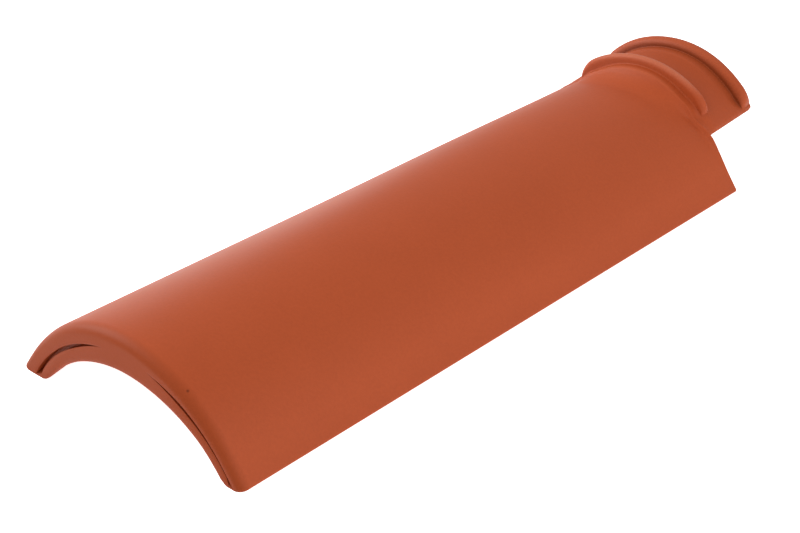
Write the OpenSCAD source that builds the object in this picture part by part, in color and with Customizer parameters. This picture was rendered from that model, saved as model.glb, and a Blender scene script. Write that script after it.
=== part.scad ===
// Half-round clay roof tile with a ribbed collar at its head.
// The tile lies on its two feet. The tail, which covers the tile below it on a roof, is at -Y,
// and the head with the collar, which slips under the next tile, is at +Y. Millimetres, degrees.

/* [Body] */
// Length of the arched body, without the collar
body_length = 380; // [260:1:480]
// Width over both feet
body_width = 147.5; // [130:0.5:160]
// Height of the crown above the feet
crown_rise = 45.5; // [41:0.5:48]
// Slope of the flanks where they come down to the feet, in degrees
flank_slope = 53.5; // [52:0.5:60]
// Thickness of the wall at the crown
crown_wall = 18; // [14:0.5:20]
// Width of each foot
foot_width = 15.5; // [13:0.5:19]
// Rounding of the outer edge of each foot
foot_round = 1; // [0.5:0.5:4]

/* [Tail] */
// Rounding of the outer edge at the tail
tail_round = 4.5; // [1:0.5:5]
// Chamfer of the inner edge at the tail
tail_chamfer = 2.5; // [0.5:0.5:3]
// Thickness of the lip outside the drip grooves, at the crown
lip_crown = 8; // [7:0.5:11]
// Width of the lip outside the drip grooves, at a foot
lip_foot = 9.5; // [8:0.5:10.5]
// Width of each drip groove where it opens at a foot
groove_width = 2.5; // [1.5:0.5:3.5]
// Distance from the middle at which each drip groove runs out
groove_start = 16; // [10:1:30]
// Depth of the drip grooves
groove_depth = 6; // [3:0.5:15]

/* [Collar] */
// Length of the collar past the end of the body
collar_length = 48.5; // [44:0.5:70]
// Height of the collar's lower edges above the feet
collar_edge = 28.5; // [24:0.5:33]
// Width over the collar's lower edges where it leaves the body
collar_width = 104; // [101:0.5:108]
// Width over the collar's lower edges at its tip
tip_width = 101; // [97:0.5:103]
// Height of the neck at the crown, above the feet
neck_rise = 50.5; // [48:0.5:53]
// Height of the ledge in front of each bead at the crown, above the feet
ledge_rise = 54; // [52:0.5:56]
// Length of each ledge
ledge_length = 5.5; // [3:0.5:8]
// Radius of the hollow curve that leads up to each ledge
ledge_flare = 14; // [10:0.5:20]
// Width over which each ledge stands out before it runs into the surface below
ledge_width = 84; // [78:1:90]
// Thickness of the neck's wall
collar_wall = 11; // [9:0.5:13]
// Length over which the hollow underneath widens from the body's to the collar's
hollow_run = 18; // [10:1:40]

/* [Beads] */
// Distance from the body's end to the front of the first bead
first_bead = 5; // [3:0.5:8]
// Height of the first bead at the crown, above the feet
first_bead_rise = 59; // [57:0.5:62]
// Half of the first bead's thickness, with which its edge is rounded
first_bead_round = 2.5; // [2:0.5:4]
// Width over the upright ends of the first bead
first_bead_width = 88; // [82:0.5:94]
// Height of the tip bead at the crown, above the feet
tip_bead_rise = 59; // [57:0.5:62]
// Half of the tip bead's thickness, with which its edge is rounded
tip_bead_round = 4; // [3:0.5:5]
// Width over the upright ends of the tip bead
tip_bead_width = 95; // [88:0.5:96]
// Outer radius of the tip bead, whose axis both beads share
bead_radius = 65; // [61:0.5:69]

/* [Hidden] */
clay = "#b4522f";
$fn = 180;
past = 1; // how far a cut runs past the face that it opens
sink = 0.5; // how far a hollow curve starts below the surface that it rises from

// Height of the centre of a circle that is centred over the middle line and passes through two points [x, z]
function centre_through(p, q) = (p * p - q * q) / (2 * (p[1] - q[1]));

overall_length = body_length + collar_length;

// Outer section: a crown arc that runs tangent into straight flanks, with rounded feet
foot_reach = foot_round / tan(flank_slope / 2);
foot_corner = body_width / 2 - foot_round + foot_reach;
crown_radius = (foot_corner - crown_rise / tan(flank_slope))
    / (sin(flank_slope) - (1 - cos(flank_slope)) / tan(flank_slope));
crown_centre = crown_rise - crown_radius;

// Inner section: one arc through the inner edges of the feet and the underside of the crown
inner_half = foot_corner - foot_width;
inner_rise = crown_rise - crown_wall;
inner_centre = centre_through([inner_half, 0], [0, inner_rise]);
inner_radius = inner_rise - inner_centre;

// Drip grooves: the crescents between the lip's inner arc and a tighter arc that crosses it
lip_half = foot_corner - lip_foot;
lip_rise = crown_rise - lip_crown;
lip_centre = centre_through([lip_half, 0], [0, lip_rise]);
lip_radius = lip_rise - lip_centre;
groove_tip = [groove_start, lip_centre + sqrt(lip_radius * lip_radius - groove_start * groove_start)];
groove_foot = [lip_half - groove_width, 0];
groove_centre = centre_through(groove_tip, groove_foot);
groove_radius = norm(groove_foot - [0, groove_centre]);

// Collar: the neck runs out at the collar's lower edges, which draw in from the body to the tip
neck_start = centre_through([collar_width / 2, collar_edge], [0, neck_rise]);
neck_end = centre_through([tip_width / 2, collar_edge], [0, neck_rise]);
neck_tilt = atan((neck_end - neck_start) / collar_length);
bead_centre = tip_bead_rise - bead_radius;
tip_bead = collar_length - 2 * tip_bead_round;

// Extrudes a section [x, z] along Y, from start over a length
module along(start, length) {
    translate([0, start + length, 0]) rotate([90, 0, 0]) linear_extrude(height = length) children();
}

// Turns a profile [radius, y] about an axis along Y at a height
module turned(centre) {
    translate([0, 0, centre]) rotate([-90, 0, 0]) rotate_extrude() children();
}

// The body's section without its hollow
module outer_section() {
    tangent = [crown_radius * sin(flank_slope), crown_centre + crown_radius * cos(flank_slope)];
    flank_end = [foot_corner - foot_reach * cos(flank_slope), foot_reach * sin(flank_slope)];
    foot_end = foot_corner - foot_reach;
    intersection() {
        translate([0, crown_centre]) circle(crown_radius);
        translate([-tangent[0], tangent[1]]) square([2 * tangent[0], crown_rise]);
    }
    polygon([
        tangent, flank_end, [foot_end, 0],
        [-foot_end, 0], [-flank_end[0], flank_end[1]], [-tangent[0], tangent[1]]
    ]);
    for (side = [-1, 1]) translate([side * foot_end, foot_round]) circle(foot_round);
}

// The hollow under the body
module inner_section() {
    translate([0, inner_centre]) circle(inner_radius);
}

// Both drip grooves, which open at the feet
module groove_section() {
    difference() {
        translate([0, lip_centre]) circle(lip_radius);
        translate([0, groove_centre]) circle(groove_radius);
        translate([-body_width, -2 * body_width]) square([2 * body_width, 2 * body_width - past]);
    }
}

// What the rounding takes off the outer edge at the tail
module tail_rounding() {
    flank_spread = norm([foot_corner, crown_centre]) - crown_radius;
    fade = 4 * tail_round;
    turned(crown_centre) difference() {
        polygon([
            [crown_radius - tail_round, -past],
            [crown_radius + 3 * flank_spread, -past],
            [crown_radius + 3 * flank_spread, fade],
            [crown_radius + flank_spread, fade],
            [crown_radius, tail_round],
            [crown_radius - tail_round, tail_round]
        ]);
        translate([crown_radius - tail_round, tail_round]) circle(tail_round);
    }
}

// What the chamfer takes off the inner edge at the tail
module tail_inner_chamfer() {
    turned(inner_centre) polygon([
        [0, -past],
        [inner_radius + tail_chamfer + past, -past],
        [inner_radius, tail_chamfer],
        [0, tail_chamfer]
    ]);
}

// The arched body with its rounded tail and its drip grooves
module body() {
    difference() {
        along(0, body_length) outer_section();
        along(-past, body_length + 2 * past) inner_section();
        along(-past, groove_depth + past) groove_section();
        tail_rounding();
        tail_inner_chamfer();
    }
}

// The neck: a cone whose top line is level, from start to end past the body's end
module neck(start, end) {
    far = 2 * body_width;
    grow = 1 / cos(neck_tilt);
    intersection() {
        translate([0, body_length, neck_start]) rotate([neck_tilt - 90, 0, 0])
            translate([0, 0, -collar_length])
            cylinder(
                h = 3 * collar_length,
                r1 = (neck_rise - 2 * neck_start + neck_end) * grow,
                r2 = (neck_rise + neck_start - 2 * neck_end) * grow
            );
        translate([-far, body_length + start, -far]) cube([2 * far, end - start, 2 * far]);
    }
}

// A ledge that ends at a bead, with the hollow curve that leads up to it; it stands on a round surface
// of the given height and centre, and is round itself, so that it runs into that surface at both sides
module ledge(bead, below, below_centre) {
    half = ledge_width / 2;
    below_radius = below - below_centre;
    run_out = [half, below_centre + sqrt(below_radius * below_radius - half * half)];
    centre = centre_through(run_out, [0, ledge_rise]);
    foot = below - sink;
    lift = ledge_flare - (ledge_rise - foot);
    run = sqrt(ledge_flare * ledge_flare - lift * lift);
    turned(centre) translate([0, body_length + bead - ledge_length - run]) difference() {
        square([ledge_rise - centre, run + ledge_length + past]);
        translate([foot + ledge_flare - centre, 0]) circle(ledge_flare);
    }
}

// A bead: a disc with a round edge and upright ends
module bead(front, round, rise, width) {
    crest = rise - bead_centre;
    intersection() {
        turned(bead_centre) translate([0, body_length + front]) {
            square([crest - round, 2 * round]);
            translate([crest - round, round]) circle(round);
        }
        translate([-width / 2, 0, 0]) cube([width, overall_length + past, 2 * rise]);
    }
}

// The collar's outside: neck, ledges and beads, still solid and full round
module collar_outside() {
    neck(-past, collar_length - tip_bead_round);
    ledge(first_bead, crown_rise, crown_centre);
    ledge(tip_bead, neck_rise, neck_end);
    bead(first_bead, first_bead_round, first_bead_rise, first_bead_width);
    bead(tip_bead, tip_bead_round, tip_bead_rise, tip_bead_width);
}

// The hollow under the collar, which widens from the body's hollow
module collar_hollow() {
    bore = neck_rise - collar_wall - neck_start;
    turned(neck_start) polygon([
        [0, body_length - hollow_run],
        [inner_rise - neck_start, body_length - hollow_run],
        [bore, body_length],
        [bore, overall_length + past],
        [0, overall_length + past]
    ]);
}

// What is left under the collar: all below its lower edges past the body, and all below the feet
module under_collar() {
    far = 2 * body_width;
    translate([-far, body_length, -far]) cube([2 * far, collar_length + past, far + collar_edge]);
    translate([-far, -past, -far]) cube([2 * far, overall_length + 2 * past, far]);
}

module roof_tile() {
    color(clay) translate([0, -overall_length / 2, 0]) difference() {
        union() {
            body();
            difference() {
                collar_outside();
                under_collar();
                along(-past, body_length + 2 * past) inner_section();
            }
        }
        collar_hollow();
    }
}

roof_tile();
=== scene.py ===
# %% [markdown]
# # A clay roof tile
# This lesson dresses one half-round roof tile. The construction model gives its size and its place; here it gets
# the soft skin that pressed and fired clay has, its colour, and the light that shows both. Everything is worked out
# in millimetres with the tail at y = 0, and goes into the mesh in metres.

# %% Load the fixed frame
import math
import bmesh
import bpy
import numpy as np
from mathutils import Matrix, Vector


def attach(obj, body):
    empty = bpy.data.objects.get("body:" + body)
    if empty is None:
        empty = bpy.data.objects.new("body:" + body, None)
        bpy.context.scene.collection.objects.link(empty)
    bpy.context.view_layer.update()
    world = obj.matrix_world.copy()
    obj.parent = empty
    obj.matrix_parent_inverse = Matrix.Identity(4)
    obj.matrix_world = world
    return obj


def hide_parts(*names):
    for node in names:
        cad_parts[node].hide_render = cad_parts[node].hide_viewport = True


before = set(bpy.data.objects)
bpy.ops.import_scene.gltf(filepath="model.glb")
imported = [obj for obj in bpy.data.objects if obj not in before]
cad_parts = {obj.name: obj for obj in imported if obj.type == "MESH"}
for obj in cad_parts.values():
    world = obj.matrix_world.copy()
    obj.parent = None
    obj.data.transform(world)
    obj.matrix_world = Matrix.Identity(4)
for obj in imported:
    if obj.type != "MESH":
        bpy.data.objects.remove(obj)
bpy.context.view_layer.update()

# %% [markdown]
# The photograph was taken from the right of the tail, a little above it, through a fairly long lens. Three numbers
# say where the camera stands and two angles say where it looks, so it is built from its own right, up and back
# directions, which is easier to check than a target that it has to track.

# %% Camera
def camera_axes(turn, height):
    """Right, up and back of a camera that is turned about the upright axis and looks down by a height angle."""
    a, e = math.radians(turn), math.radians(height)
    right = Vector((math.cos(a), math.sin(a), 0))
    up = Vector((-math.sin(a) * math.sin(e), math.cos(a) * math.sin(e), math.cos(e)))
    return right, up, right.cross(up)


SENSOR, FOCAL_PIXELS, PICTURE_WIDTH = 36, 1652, 800
STANDS, TURN, LOOKS_DOWN = (0.4904, -0.57885, 0.4107), 42.04, 28.87
camera = bpy.data.objects.new("camera", bpy.data.cameras.new("camera"))
camera.data.sensor_width = SENSOR
camera.data.lens = FOCAL_PIXELS * SENSOR / PICTURE_WIDTH
turned = Matrix(camera_axes(TURN, LOOKS_DOWN)).transposed().to_4x4()
camera.matrix_world = Matrix.Translation(STANDS) @ turned
bpy.context.scene.collection.objects.link(camera)
bpy.context.scene.camera = camera
print("camera lens", round(camera.data.lens, 1), "mm")

# %% [markdown]
# ## The shape of the tile
# The tile is one closed skin. Rows run round the wall: along the outside from tail to tip, over the tip's end,
# back along the inside, and over the tail. Columns run across, from the left foot over the crown to the right foot.
# These are the sizes that rows and columns need. Body, feet, neck and edges have the construction model's; the beads
# reach 2 to 4 mm further to each side, where they fade, the ledges 4 mm less far, and the first bead is 0.2 mm higher.

# %% Sizes, in millimetres
BODY = 380.0
LENGTH = 428.5
COLLAR = LENGTH - BODY
CROWN, WALL, SLOPE = 45.5, 18.0, math.radians(53.5)
FOOT_OUT, FOOT_WIDTH, FOOT_ROUND = 147.5 / 2, 15.5, 1.0
EDGE, EDGE_START, EDGE_TIP = 28.5, 52.0, 50.5
NECK, LEDGE, LEDGE_HALF, BORE_WALL, FUNNEL = 50.5, 54.0, 38.0, 11.0, 18.0
BEADS = -6.0
FIRST_BEAD, FIRST_HALF, FIRST_END, FIRST_MIDDLE = 59.2, 46.0, 9.0, 7.5
TIP_BEAD, TIP_HALF, TIP_END, TIP_MIDDLE = 59.0, 51.5, 6.5, 44.0
AXIS = -11.5
ARC_STEPS, STRAIGHT_STEPS, FOOT_STEPS = 12, 8, 8
FLANK_STEPS = ARC_STEPS + STRAIGHT_STEPS + FOOT_STEPS
CROWN_STEPS, TAIL_STEPS = 46, 32


def centre_through(x, z, crown):
    """Height of a circle's centre on the middle line, when the circle passes through (x, z) and through a crown."""
    return (x * x + z * z - crown * crown) / (2 * (z - crown))


def soft_step(value, start, end):
    """From 0 at start to 1 at end, along 3t² - 2t³."""
    t = np.clip((value - start) / (end - start), 0, 1)
    return t * t * (3 - 2 * t)


corner = FOOT_OUT - FOOT_ROUND + FOOT_ROUND / math.tan(SLOPE / 2)
crown_radius = (corner - CROWN / math.tan(SLOPE)) / (math.sin(SLOPE) - (1 - math.cos(SLOPE)) / math.tan(SLOPE))
crown_centre = CROWN - crown_radius
inside_half, inside_crown = corner - FOOT_WIDTH, CROWN - WALL
inside_centre = centre_through(inside_half, 0, inside_crown)
neck_start = centre_through(EDGE_START, EDGE, NECK)
neck_tip = centre_through(EDGE_TIP, EDGE, NECK)
print("crown radius", round(crown_radius, 2), "neck radii", round(NECK - neck_start, 1), round(NECK - neck_tip, 1))

# %% [markdown]
# ## Sections across the tile
# Seen from its end, the outside is a round crown that runs into straight flanks and a small round at each foot.
# The inside is one single arc. Half a section is enough, because the other half is its mirror image. The first
# columns fan out from the middle line up to the collar's lower edge, and the others go on down to the foot, so that
# body and collar can share the first ones.

# %% Half sections of the body
def ray_to_circle(angle, pivot, centre, crown):
    """Distance from a pivot on the middle line to a circle, along a ray that leans by an angle from upright."""
    shift, radius = centre - pivot, crown - centre
    return shift * np.cos(angle) + np.sqrt(radius ** 2 - (shift * np.sin(angle)) ** 2)


def fan(angle, distance, pivot):
    """Points (x, z) at distances from a pivot, along rays that lean by angles from upright."""
    return np.stack([distance * np.sin(angle), pivot + distance * np.cos(angle)], axis=-1)


share = np.linspace(0, 1, CROWN_STEPS + 1)
edge_angle = math.atan2(EDGE_START, EDGE - AXIS)
body_ray = ray_to_circle(share * edge_angle, AXIS, crown_centre, CROWN)
outside_crown = fan(share * edge_angle, body_ray, AXIS)

arc = np.linspace(math.asin(outside_crown[-1, 0] / crown_radius), SLOPE, ARC_STEPS + 1)[1:]
foot_middle = FOOT_OUT - FOOT_ROUND
foot_arc = np.linspace(SLOPE, math.pi, FOOT_STEPS + 1)[1:]
foot_points = np.stack([foot_middle + FOOT_ROUND * np.sin(foot_arc), FOOT_ROUND * (1 + np.cos(foot_arc))], -1)
flank_top = np.array([crown_radius * math.sin(SLOPE), crown_centre + crown_radius * math.cos(SLOPE)])
flank_end = np.array([foot_middle + FOOT_ROUND * math.sin(SLOPE), FOOT_ROUND * (1 + math.cos(SLOPE))])
flank = flank_top + np.linspace(0, 1, STRAIGHT_STEPS + 1)[1:, None] * (flank_end - flank_top)
outside_flank = np.concatenate([fan(arc, crown_radius, crown_centre), flank, foot_points])
flank_lean = np.concatenate([arc, np.full(STRAIGHT_STEPS + FOOT_STEPS, SLOPE)])
outside_body = np.concatenate([outside_crown, outside_flank])
crown_lean = np.arctan2(outside_crown[:, 0], outside_crown[:, 1] - crown_centre)
outside_lean = np.concatenate([crown_lean, flank_lean])

bore = NECK - BORE_WALL - neck_start
bore_half = math.sqrt(bore ** 2 - (EDGE - neck_start) ** 2)
bore_angle = math.atan2(bore_half, EDGE - neck_start)
inside_ray = ray_to_circle(share * bore_angle, neck_start, inside_centre, inside_crown)
inside_top = fan(share * bore_angle, inside_ray, neck_start)
inside_radius = inside_crown - inside_centre
from_edge, to_foot = (math.asin(half / inside_radius) for half in (inside_top[-1, 0], inside_half))
down = np.linspace(from_edge, to_foot, FLANK_STEPS + 1)
inside_body = np.concatenate([inside_top, fan(down[1:], inside_radius, inside_centre)])
inside_body[-2:] = (inside_half + 0.4, 0.45), (inside_half + 1.5, 0)
inside_lean = np.arctan2(inside_body[:, 0], inside_body[:, 1] - inside_centre)
print("half section", len(outside_body), "columns, wall at the foot", round(corner - inside_half, 1), "mm")

# %% [markdown]
# ## The profile along the crown
# The collar is what took the most skill to press: the body swells in a hollow curve up to a narrow ledge, a round
# bead stands on it, the neck dips behind the bead, and the same curve, ledge and bead come once more at the tip.
# The profile is a line of corners, and each corner is rounded by its own small curve, as clay always leaves it.

# %% Collar profile
def rounded(corners, cuts, steps=5):
    """A line through corners where each is cut off at a distance on both sides and bridged by a parabola."""
    corners, cuts = np.array(corners, float), np.array(cuts, float)[:, None]
    before, after = np.roll(corners, 1, axis=0), np.roll(corners, -1, axis=0)
    start = corners + cuts * (before - corners) / np.maximum(np.linalg.norm(before - corners, axis=1)[:, None], 1e-9)
    end = corners + cuts * (after - corners) / np.maximum(np.linalg.norm(after - corners, axis=1)[:, None], 1e-9)
    t = np.linspace(0, 1, steps)[None, :, None]
    curve = (1 - t) ** 2 * start[:, None] + 2 * t * (1 - t) * corners[:, None] + t ** 2 * end[:, None]
    keep = np.where(cuts > 0, np.ones((1, steps)), np.eye(1, steps)).astype(bool)
    return curve[keep]


def hollow_curve(start, end, low, high, steps):
    """A rise from low to high that grows with the distance to the power of 2.2."""
    t = np.linspace(0, 1, steps)
    return np.stack([start + (end - start) * t, low + (high - low) * t ** 2.2], -1)


def bead_round(middle, half, rise, crest, steps):
    """Half an ellipse over the middle of a bead, from its front to its back."""
    t = np.linspace(math.pi, 0, steps)
    return np.stack([middle + half * np.cos(t), crest - rise + rise * np.sin(t)], -1)


SWELL_START = -15
first_swell = hollow_curve(SWELL_START, 0.5, CROWN, LEDGE, 40)
before = np.concatenate([np.linspace(SWELL_START, -1.5, 16), [-1, -0.87, -0.6, -0.3, -0.1, 0]])
before_end = np.stack([before, np.interp(before, *first_swell.T)], -1)
first_round = bead_round(FIRST_MIDDLE, 2.5, 2.5, FIRST_BEAD, 15)
second_swell = hollow_curve(20, 33, NECK, LEDGE, 13)
tip_round = bead_round(TIP_MIDDLE, 4.5, 4.0, TIP_BEAD, 21)
front = rounded([before_end[-1], (0.7, LEDGE), (3, LEDGE)], [0, 0.6, 0])
ledge_end = rounded([(3.6, LEDGE), (5, LEDGE), first_round[0]], [0, 0.9, 0])
valley = rounded([first_round[-1], (10, NECK), (15, NECK)], [0, 3.5, 0], 9)
tip_front = rounded([*second_swell[-2:], (35.5, LEDGE), (39.5, LEDGE), tip_round[0]], [0, 1.2, 0, 0.6, 0])
past_end = np.concatenate([
    front, ledge_end, first_round[1:-1], valley, [(17.5, NECK)], second_swell[:-2], tip_front, tip_round[1:],
])
crest_row = len(before_end) + len(front) + len(ledge_end) + len(first_round) // 2 - 1
profile = np.concatenate([before_end, past_end])
print("collar profile", len(profile), "rows")

# %% [markdown]
# ## Outside and inside
# Each row of the profile says how far the surface has risen from the body or the neck to a ledge, and from there to
# a bead. At the sides the ledges run into the surface below and the beads end in a small round, so the same shares
# give the whole collar. The inside is the body's arc, which widens like a funnel under the collar.

# %% Outside rows
NECK_MIDDLE = 17
body_rows = np.concatenate([[0], np.linspace(14, BODY - 22, 40)])
along = np.concatenate([body_rows, BODY + profile[:, 0]])
height = np.concatenate([np.full(len(body_rows), CROWN), profile[:, 1]])
profile_row = np.arange(len(along)) - len(body_rows)
past = along - BODY
is_collar = profile_row >= len(before_end)
ahead = profile_row <= crest_row
second = past > NECK_MIDDLE
on_first, on_second = (height - CROWN) / (LEDGE - CROWN), (height - NECK) / (LEDGE - NECK)
ledge_share = np.where(ahead, on_first, np.where(second, on_second, 0))
bead_low = np.where(ahead | second, LEDGE, NECK)
bead_top = np.where(second, TIP_BEAD, FIRST_BEAD)
ledge_share = np.clip(ledge_share, 0, 1)[:, None]
bead_share = np.clip((height - bead_low) / (bead_top - bead_low), 0, 1)[:, None]


def over(low, high, soft):
    """The higher of two surfaces, with the corner between them filled softly."""
    return (low + high + np.sqrt((high - low) ** 2 + soft ** 2)) / 2


def ledge_ray(angle, below, below_centre):
    """Ledge that is round about a centre of its own, so that it runs into the surface below at both sides."""
    side = below_centre + math.sqrt((below - below_centre) ** 2 - LEDGE_HALF ** 2)
    return ray_to_circle(angle, AXIS, centre_through(LEDGE_HALF, side, LEDGE), LEDGE)


def bead_ray(angle, low, crest, half, end):
    """Bead that is round about the beads' axis and falls to the surface below over a quarter ellipse at its ends."""
    ray = ray_to_circle(angle, AXIS, BEADS, crest)
    left = np.sqrt(1 - np.clip((ray * np.sin(angle) - half + end) / end, 0, 1) ** 2)
    return low + np.maximum(ray - low, 0) * left


def dent(across, along, wide, long, deep):
    """Depth of a soft round hollow, at distances from its middle across and along the tile."""
    return deep * np.exp(-(across / wide) ** 2 - (along / long) ** 2)


DENTS = [(43, 1.5, 5.5, 4.5, 2.6), (45, 38, 4, 2.5, 1.2)]
LOWER_EDGE_WIDE, LOWER_EDGE_DEEP = 2.5, 0.8
LIFTED = 14
BACK_ROUND = 1.2

t = np.clip(past / COLLAR, 0, 1)[:, None]
edge_half = EDGE_START + (EDGE_TIP - EDGE_START) * t - soft_step(past, TIP_MIDDLE, COLLAR)[:, None]
angle = share * np.arctan2(edge_half, EDGE - AXIS)
neck_centre = neck_start + (neck_tip - neck_start) * t
low = body_ray + (ray_to_circle(angle, AXIS, neck_centre, NECK) - body_ray) * soft_step(past, -2.5, 0)[:, None]
ledge = np.where(second[:, None], ledge_ray(angle, NECK, neck_tip), ledge_ray(angle, CROWN, crown_centre))
ray = low + ledge_share * (over(low, ledge, 0.6) - low)
first = bead_ray(angle, ray, FIRST_BEAD, FIRST_HALF, FIRST_END)
last = bead_ray(angle, ray, TIP_BEAD, TIP_HALF, TIP_END)
ray = ray + bead_share * (np.where(second[:, None], last, first) - ray)
x = ray * np.sin(angle)
for dent_x, dent_past, wide, long, deep in DENTS:
    ray = ray - dent(x - dent_x, past[:, None] - dent_past, wide, long, deep)
to_edge = (1 - share) * edge_angle * (NECK - AXIS)
edge_fall = 1 - np.sqrt(1 - np.clip(1 - to_edge / LOWER_EDGE_WIDE, 0, 1) ** 2)
ray = ray - LOWER_EDGE_DEEP * edge_fall * soft_step(past, 0.5, 4)[:, None]
outside_top = fan(angle, ray, AXIS)

lift = (ray[:, -1:] - body_ray[-1])[..., None] * np.linspace(1, 0, LIFTED)[None, :, None] ** 2
normal = np.stack([np.sin(flank_lean), np.cos(flank_lean)], -1)
low_flank = np.repeat(outside_flank[None], len(along), axis=0)
low_flank[:, :LIFTED] += lift * normal[:LIFTED]
back = np.clip(past + BACK_ROUND, 0, BACK_ROUND)[:, None]
inset = (BACK_ROUND - np.sqrt(BACK_ROUND ** 2 - back ** 2)) * soft_step(np.arange(FLANK_STEPS), 0, 8)
foot_hold = soft_step(outside_flank[:, 1], 6, 18)[:, None]
inward = -foot_hold * normal + (1 - foot_hold) * np.array([-1 / math.sin(SLOPE), 0])
low_flank += inset[..., None] * inward
low_flank[is_collar] = outside_top[is_collar, -1:]
outside = np.concatenate([outside_top, low_flank], axis=1)
print("outside", outside.shape[:2])

# %% Inside rows
TIP_ROUND = 2
funnel = inside_crown - neck_start + (bore - inside_crown + neck_start) * np.clip(past / FUNNEL + 1, 0, 1)
tip_edge = np.clip(along - LENGTH + TIP_ROUND, 0, TIP_ROUND)
funnel = np.where(is_collar, bore + TIP_ROUND - np.sqrt(TIP_ROUND ** 2 - tip_edge ** 2), funnel)[:, None]
reach = np.hypot(inside_body[:, 0], inside_body[:, 1] - neck_start)
lean = np.arctan2(inside_body[:, 0], inside_body[:, 1] - neck_start)
widened = np.where(past[:, None] > -FUNNEL, np.maximum(reach, funnel), reach)
inside = fan(lean[None], widened, neck_start)
inside[is_collar, CROWN_STEPS:] = inside[is_collar, CROWN_STEPS:CROWN_STEPS + 1]
inside[is_collar, CROWN_STEPS:, 1] = EDGE
print("inside", inside.shape[:2])

# %% [markdown]
# ## The tail
# The tail's rim is rounded widely outside and less inside, and carries a crescent drip groove on each side, which
# runs out just above the foot. For each column the rim is one straight line across the wall. Where that line crosses
# the lip's inner arc, the rows turn in over a small round, run along the groove's bottom and come out again.

# %% Rows over the tail
def across(start, end, centre, radius):
    """Share of the way from start to end at which a line meets a circle over the middle line."""
    step = end - start
    from_centre = start - np.array([0, centre])
    a, b = (step ** 2).sum(-1), (step * from_centre).sum(-1)
    c = (from_centre ** 2).sum(-1) - radius ** 2
    return (-b - np.sqrt(np.maximum(b * b - a * c, 0))) / a


ROUND_DEEP, ROUND_LONG, INNER_ROUND = 4.5, 6.5, 2.5
LIP = 8.2
LIP_CROWN, LIP_HALF = CROWN - LIP, corner - LIP
GROOVE_FROM, GROOVE_WIDTH, GROOVE_DEPTH = 13.0, 3.0, 4.0
GROOVE_WIDENS, GROOVE_DEEPENS = 32, 22
EIGHTH_TURN = 0.29

low_down = soft_step(outside_body[:, 1], 30, 4)
round_deep = ROUND_DEEP - 1.5 * low_down
round_long = ROUND_LONG - 2.5 * low_down
outward = np.stack([np.sin(outside_lean), np.cos(outside_lean)], -1)
hold = soft_step(outside_body[:, 1], 6, 18)[:, None]
rim_in = -hold * outward + (1 - hold) * np.array([-1 / math.sin(SLOPE), 0])
hold = soft_step(inside_body[:, 1], 4, 14)[:, None]
wall_in = hold * np.stack([np.sin(inside_lean), np.cos(inside_lean)], -1)
wall_in += (1 - hold) * np.array([1 / math.sin(inside_lean[-1]), 0])
inner_round = INNER_ROUND - 1.5 * soft_step(inside_body[:, 1], 14, 0)
rim_out = outside_body + round_deep[:, None] * rim_in
rim_inner = inside_body + inner_round[:, None] * wall_in
rim_length = np.linalg.norm(rim_inner - rim_out, axis=1)

lip_centre = centre_through(LIP_HALF, 0, LIP_CROWN)
at_lip = np.clip(across(rim_out, rim_inner, lip_centre, LIP_CROWN - lip_centre), 0.1, 0.9)
lip_x, lip_z = (rim_out + at_lip[:, None] * (rim_inner - rim_out)).T
opened = soft_step(lip_x, GROOVE_FROM, GROOVE_FROM + GROOVE_WIDENS)
closed = soft_step(lip_z, 0.6, 3.0)
depth = GROOVE_DEPTH * closed * soft_step(lip_x, GROOVE_FROM, GROOVE_FROM + GROOVE_DEEPENS)
at_groove = np.minimum(at_lip + opened * GROOVE_WIDTH / rim_length, 0.93)
soft = 0.8 * opened * closed
soft_share = soft / rim_length

bend = np.linspace(0, math.pi / 2, 9)[:, None]
round_y = round_long * (1 - np.sin(bend))
round_xz = outside_body + (round_deep * (1 - np.cos(bend)))[..., None] * rim_in
step5, step4, step3 = (np.linspace(0, 1, n + 1)[1:, None] for n in (5, 4, 3))
rim_share = np.concatenate([
    step4 * (at_lip - soft_share), [at_lip - EIGHTH_TURN * soft_share, at_lip], np.ones((3, 1)) * at_lip,
    at_lip + step4 * (at_groove - at_lip), np.ones((3, 1)) * at_groove, at_groove + step5 * (1 - at_groove),
])
rim_y = np.concatenate([
    0 * step4 * depth, [EIGHTH_TURN * soft, soft], soft + step3 * (depth - soft),
    np.ones((4, 1)) * depth, depth + step3 * (soft / 2 - depth), (1 - step5) ** 4 * soft / 2,
])
rim_xz = rim_out + rim_share[..., None] * (rim_inner - rim_out)
bend = step3 * math.pi / 2
inner_xz = rim_inner + np.sin(bend)[..., None] * (inside_body - rim_inner)
inner_y = inner_round * (1 - np.cos(bend))
tail_y = np.concatenate([round_y, rim_y, inner_y])
tail = np.dstack([np.concatenate([round_xz, rim_xz, inner_xz]), tail_y])[..., [0, 2, 1]]
print("tail", tail.shape[:2], "groove up to", round(float(depth.max()), 1), "mm deep")

# %% [markdown]
# ## One closed skin
# The rows are put in order round the wall, mirrored, and joined to a grid. What stays open is one long strip on each
# side: it runs along the underside of the foot, climbs the body's back between the outer and the inner wall, and goes
# on along the collar's lower edge. The grid's cells that would fold up over the body's back are left out. Points that
# fall together are merged, and the faces are turned outwards.
#
# No pressing is perfect: at the tail the vault of this tile sits 3 mm to the right of the middle, the collar leaves
# the body 1.5 mm to the right, and a waviness of at most 0.3 mm runs over all surfaces.

# %% Join the skin
def with_y(points, y):
    """Points (x, z) and their place along the tile, as (x, y, z)."""
    return np.stack([points[..., 0], np.broadcast_to(y, points.shape[:2]), points[..., 1]], -1)


def grid_faces(rows, columns, first, closed):
    """Four corners of each cell of a grid that is stored row by row, closed from the last row to the first or not."""
    r, c = np.meshgrid(np.arange(rows if closed else rows - 1), np.arange(columns - 1), indexing="ij")
    s = (r + 1) % rows
    here, there = r * columns + c, s * columns + c
    return first + np.stack([here, here + 1, there + 1, there], -1).reshape(-1, 4)


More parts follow.
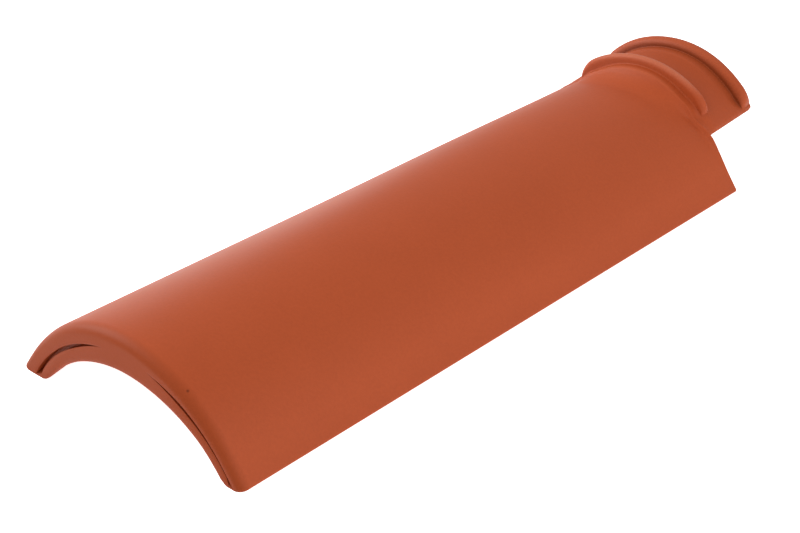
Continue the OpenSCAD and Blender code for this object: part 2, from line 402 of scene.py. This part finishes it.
VAULT_SHIFT, COLLAR_SHIFT = 3.0, 1.5
WAVES, WAVE_SIZE = 12, 0.04
MERGE, SHARP = 2e-6, math.radians(38)

outer = with_y(outside, along[:, None])
inner = with_y(inside, along[:, None])
outer[0], inner[0] = tail[0], tail[-1]
step = np.linspace(0, 1, TAIL_STEPS + 1)[:, None, None]
tip = outer[-1] + step * (inner[-1] - outer[-1])
loop = np.concatenate([outer, tip[1:-1], inner[::-1], tail[-2:0:-1]])
loop = np.concatenate([loop[:, :0:-1] * (-1, 1, 1), loop], axis=1)
side = outer[:, None, -1] + step[None, :, 0] * (inner[:, None, -1] - outer[:, None, -1])
side[0], side[-1] = tail[:, -1], tip[:, -1]
last = np.flatnonzero(~is_collar)[-1]
climb = np.arange(outer.shape[1] - 1, CROWN_STEPS - 1, -1)
back_face = outer[last, climb][:, None] + step[None, :, 0] * (inner[last, climb] - outer[last, climb])[:, None]
side = np.concatenate([side[:last], back_face, side[last + 1:]])
grids = [(loop, True), (side, False), (side * (-1, 1, 1), False)]
points = np.concatenate([g.reshape(-1, 3) for g, _ in grids])
firsts = np.cumsum([0] + [g.shape[0] * g.shape[1] for g, _ in grids])
faces = [grid_faces(*g.shape[:2], first, closed) for (g, closed), first in zip(grids, firsts)]
keep = np.ones((loop.shape[0], loop.shape[1] - 1), bool)
flanks = np.abs(np.arange(keep.shape[1]) - (keep.shape[1] - 1) / 2) > CROWN_STEPS
last_inside = 2 * len(along) + TAIL_STEPS - 3 - last
keep[np.ix_([last, last_inside], flanks)] = False
faces = np.concatenate([faces[0][keep.ravel()], *faces[1:]])

below_arc = crown_radius - np.hypot(points[:, 0], points[:, 2] - crown_centre)
from_flank = flank_top - np.stack([np.abs(points[:, 0]), points[:, 2]], -1)
behind_flank = from_flank[:, 0] * math.sin(SLOPE) + from_flank[:, 1] * math.cos(SLOPE)
on_arc = np.arctan2(np.abs(points[:, 0]), points[:, 2] - crown_centre) < SLOPE
inside_by = np.where(on_arc, below_arc, behind_flank)
right = soft_step(points[:, 0], -25, 25)
fade_from, fade_to = 4 + 26 * right, 14 + 136 * right
points[:, 0] += VAULT_SHIFT * soft_step(inside_by, 3, 8) * soft_step(points[:, 1], fade_to, fade_from)
beyond = points[:, 1] - BODY
back_to_middle = np.clip(1 - beyond / COLLAR, 0, 1)
points[:, 0] += COLLAR_SHIFT * soft_step(beyond, -5, 0) * back_to_middle * soft_step(points[:, 2], 8, 28)

chance = np.random.RandomState(7)
waves = chance.normal(size=(WAVES, 3)) * (0.06, 0.02, 0.06)
phases = chance.uniform(0, 2 * math.pi, WAVES)
wave = np.sin(points @ waves.T + phases).sum(axis=1) * WAVE_SIZE * soft_step(points[:, 2], 1, 10)
away = points - np.array([0, 0, AXIS])
away[:, 1] = 0
points = points + wave[:, None] * away / np.linalg.norm(away, axis=1)[:, None]
points = (points - (0, LENGTH / 2, 0)) / 1000

skin = bpy.data.meshes.new("tile_skin")
skin.from_pydata(points.tolist(), [], faces.tolist())
work = bmesh.new()
work.from_mesh(skin)
bmesh.ops.remove_doubles(work, verts=work.verts, dist=MERGE)
bmesh.ops.dissolve_degenerate(work, dist=MERGE, edges=work.edges)
bmesh.ops.recalc_face_normals(work, faces=work.faces)
open_edges = sum(not edge.is_manifold for edge in work.edges)
volume = work.calc_volume(signed=True)
work.to_mesh(skin)
work.free()
skin.polygons.foreach_set("use_smooth", np.ones(len(skin.polygons), bool))
skin.set_sharp_from_angle(angle=SHARP)
tile = bpy.data.objects.new("tile_skin", skin)
bpy.context.scene.collection.objects.link(tile)
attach(tile, "root")
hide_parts("roof_tile")
print("skin", len(skin.vertices), "points,", len(skin.polygons), "faces,", open_edges, "open edges")
print("volume", round(volume * 1000, 4), "litres")

# %% [markdown]
# ## Fired clay
# Natural red clay, pressed and fired without a glaze. Iron in the clay gives the orange red, and firing leaves cloudy
# patches a few centimetres across and grains of sand under a millimetre, which are drawn here at a millimetre and a
# half so that they show. All patterns are laid out in the tile's own coordinates, in metres.

# %% Clay tone
def linear(hex_colour):
    """sRGB hex to the linear red, green and blue that a shader takes."""
    value = np.array([int(hex_colour[i:i + 2], 16) for i in (1, 3, 5)]) / 255
    return (*np.where(value <= 0.04045, value / 12.92, ((value + 0.055) / 1.055) ** 2.4), 1.0)


def add_node(tree, kind, settings=None, inputs=None, links=None):
    """One node: its settings, its plain inputs, and links from other nodes' outputs to its inputs."""
    node = tree.nodes.new(kind)
    for name, value in (settings or {}).items():
        setattr(node, name, value)
    for name, value in (inputs or {}).items():
        node.inputs[name].default_value = value
    for name, output in (links or {}).items():
        tree.links.new(output, node.inputs[name])
    return node


clay = bpy.data.materials.new("fired_clay_unglazed")
clay.use_nodes = True
tree = clay.node_tree
shader = tree.nodes["Principled BSDF"]
shader.inputs["IOR"].default_value = 1.5
place = add_node(tree, "ShaderNodeTexCoord").outputs["Object"]
clouds = add_node(
    tree, "ShaderNodeTexNoise", inputs={"Scale": 1 / 0.045, "Detail": 3, "Roughness": 0.55}, links={"Vector": place})
grains = add_node(
    tree, "ShaderNodeTexNoise", inputs={"Scale": 1 / 0.0015, "Detail": 2, "Roughness": 0.6}, links={"Vector": place})
tone = add_node(
    tree, "ShaderNodeMix", {"data_type": "RGBA"}, {"A": linear("#ab4a24"), "B": linear("#b34f28")},
    {"Factor": clouds.outputs["Fac"]})
grain_tone = add_node(
    tree, "ShaderNodeMapRange", inputs={"From Min": 0.3, "From Max": 0.7, "To Min": 0.96, "To Max": 1.03},
    links={"Value": grains.outputs["Fac"]})
grained = add_node(
    tree, "ShaderNodeVectorMath", {"operation": "SCALE"},
    links={0: tone.outputs["Result"], "Scale": grain_tone.outputs["Result"]})
print("clay tone", len(tree.nodes), "nodes")

# %% [markdown]
# ## Painted highlights and shade
# Crests on the upper part of the tile are painted paler, a painted highlight. They are found by rays that start
# inside the clay, which soon come out again near a crest. The neck between the beads is painted darker, a painted
# shade, found in the same way by rays in the air. The rim, where the wet clay was cut, is painted darker and browner
# as painted shade, and a small spot on the tail's rounding is drawn at half the brightness.

# %% Painted highlights and shade
spot = add_node(tree, "ShaderNodeSeparateXYZ", links={"Vector": place})
edges = add_node(
    tree, "ShaderNodeAmbientOcclusion", {"samples": 8, "inside": True, "only_local": True}, {"Distance": 0.004})
# Painted highlight: crests on the upper part of the tile are painted paler, towards #dc9a80.
crest_highlight_amount = add_node(
    tree, "ShaderNodeMapRange", inputs={"From Min": 0.4, "From Max": 0.9, "To Min": 0.65, "To Max": 0.0},
    links={"Value": edges.outputs["AO"]})
high = add_node(
    tree, "ShaderNodeMapRange", inputs={"From Min": 0.045, "From Max": 0.053}, links={"Value": spot.outputs["Z"]})
painted_crest_highlight = add_node(
    tree, "ShaderNodeMath", {"operation": "MULTIPLY"}, links={0: crest_highlight_amount.outputs["Result"], 1: high.outputs["Result"]})
with_painted_highlight = add_node(
    tree, "ShaderNodeMix", {"data_type": "RGBA"}, {"B": linear("#dc9a80")},
    {"Factor": painted_crest_highlight.outputs["Value"], "A": grained.outputs["Vector"]})
# Painted shade: the neck behind the first bead is painted darker, towards #622709, where rays in the air meet clay
# within 3 cm.
corners = add_node(
    tree, "ShaderNodeAmbientOcclusion", {"samples": 8, "only_local": True}, {"Distance": 0.03})
painted_neck_shade_amount = add_node(
    tree, "ShaderNodeMapRange", inputs={"From Min": 0.6, "From Max": 1.0, "To Min": 0.7, "To Max": 0.05},
    links={"Value": corners.outputs["AO"]})
behind = add_node(
    tree, "ShaderNodeMapRange", inputs={"From Min": 0.173, "From Max": 0.177, "To Min": 0.3, "To Max": 1.0},
    links={"Value": spot.outputs["Y"]})
painted_neck_shade = add_node(
    tree, "ShaderNodeMath", {"operation": "MULTIPLY"}, links={0: painted_neck_shade_amount.outputs["Result"], 1: behind.outputs["Result"]})
with_painted_shade = add_node(
    tree, "ShaderNodeMix", {"data_type": "RGBA"}, {"B": linear("#622709")},
    {"Factor": painted_neck_shade.outputs["Value"], "A": with_painted_highlight.outputs["Result"]})
# Painted shade: the tail's rim and its rounding are painted darker and browner, towards #6b2a0c; the same mask also
# lowers the rim's sheen.
cut = add_node(
    tree, "ShaderNodeMapRange", inputs={"From Min": -0.2142, "From Max": -0.2085, "To Min": 0.52, "To Max": 0.0},
    links={"Value": spot.outputs["Y"]})
with_painted_rim_shade = add_node(
    tree, "ShaderNodeMix", {"data_type": "RGBA"}, {"B": linear("#6b2a0c")},
    {"Factor": cut.outputs["Result"], "A": with_painted_shade.outputs["Result"]})
# A small spot on the tail's rounding is drawn at half the brightness, fading out between 0.3 and 0.9 mm from its
# middle.
from_dark_spot = add_node(
    tree, "ShaderNodeVectorMath", {"operation": "DISTANCE"}, {1: (0.0398, -0.2106, 0.0346)}, {0: place})
dark_spot = add_node(
    tree, "ShaderNodeMapRange", inputs={"From Min": 0.0003, "From Max": 0.0009, "To Min": 0.5, "To Max": 1.0},
    links={"Value": from_dark_spot.outputs["Value"]})
with_dark_spot = add_node(
    tree, "ShaderNodeVectorMath", {"operation": "SCALE"},
    links={0: with_painted_rim_shade.outputs["Result"], "Scale": dark_spot.outputs["Result"]})
tree.links.new(with_dark_spot.outputs["Vector"], shader.inputs["Base Color"])
print("wear", len(tree.nodes), "nodes")

# %% [markdown]
# The press leaves a close, fine skin with a soft sheen, which the cut rim has not, and the grains of sand stand out of
# it by a few hundredths of a millimetre.

# %% Sheen and relief
gloss = add_node(
    tree, "ShaderNodeMapRange", inputs={"To Min": 0.45, "To Max": 0.53}, links={"Value": clouds.outputs["Fac"]})
tree.links.new(gloss.outputs["Result"], shader.inputs["Roughness"])
sheen = add_node(
    tree, "ShaderNodeMapRange", inputs={"To Min": 0.17, "To Max": 0.02}, links={"Value": cut.outputs["Result"]})
tree.links.new(sheen.outputs["Result"], shader.inputs["Specular IOR Level"])
relief = add_node(
    tree, "ShaderNodeBump", inputs={"Strength": 0.25, "Distance": 0.0002}, links={"Height": grains.outputs["Fac"]})
tree.links.new(relief.outputs["Normal"], shader.inputs["Normal"])
skin.materials.append(clay)
print("material", clay.name, len(tree.nodes), "nodes")

# %% [markdown]
# ## Floor and light
# A white table and soft studio light. The table glows: a little where it lights the tile, and fully where the camera
# looks at it, so that it is as white as the photograph's ground. The world lights everything evenly. A large lamp on
# the left models the arch, a weaker one opens the right flank, and a small low one behind the left flank gives the
# pale sheen at the tail. Colours are shown as they are, without a film curve that would bleach the clay.

# %% Floor, lamps and world
bpy.ops.mesh.primitive_plane_add(size=20)
floor = bpy.context.object
floor.name = "floor"
pale = bpy.data.materials.new("pale_floor")
pale.use_nodes = True
table = pale.node_tree.nodes["Principled BSDF"]
table.inputs["Base Color"].default_value = linear("#f6f6f6")
table.inputs["Roughness"].default_value = 0.9
table.inputs["Emission Color"].default_value = (1, 1, 1, 1)
seen = add_node(pale.node_tree, "ShaderNodeLightPath").outputs["Is Camera Ray"]
glow = add_node(
    pale.node_tree, "ShaderNodeMapRange", inputs={"To Min": 0.58, "To Max": 1.0}, links={"Value": seen})
pale.node_tree.links.new(glow.outputs["Result"], table.inputs["Emission Strength"])
floor.data.materials.append(pale)


def soft_lamp(name, stands, aims, size, power):
    """A square lamp that stands at one point and aims at another."""
    data = bpy.data.lights.new(name, "AREA")
    data.size, data.energy = size, power
    lamp = bpy.data.objects.new(name, data)
    turn = (Vector(aims) - Vector(stands)).to_track_quat("-Z", "Y").to_matrix().to_4x4()
    lamp.matrix_world = Matrix.Translation(stands) @ turn
    bpy.context.scene.collection.objects.link(lamp)


soft_lamp("left_lamp", (-1.25, -0.5, 0.9), (0, 0, 0.03), 1.0, 18)
soft_lamp("right_lamp", (0.95, 0.1, 0.6), (0, 0, 0.03), 1.0, 4)
soft_lamp("sheen_lamp", (-0.55, 0.25, 0.12), (0, -0.2, 0.04), 0.25, 0.3)
world = bpy.data.worlds.new("studio")
world.use_nodes = True
background = world.node_tree.nodes["Background"]
background.inputs["Color"].default_value = (1, 1, 1, 1)
background.inputs["Strength"].default_value = 0.6
bpy.context.scene.world = world
bpy.context.scene.view_settings.view_transform = "Standard"
print("floor and", len(bpy.data.lights), "lamps")
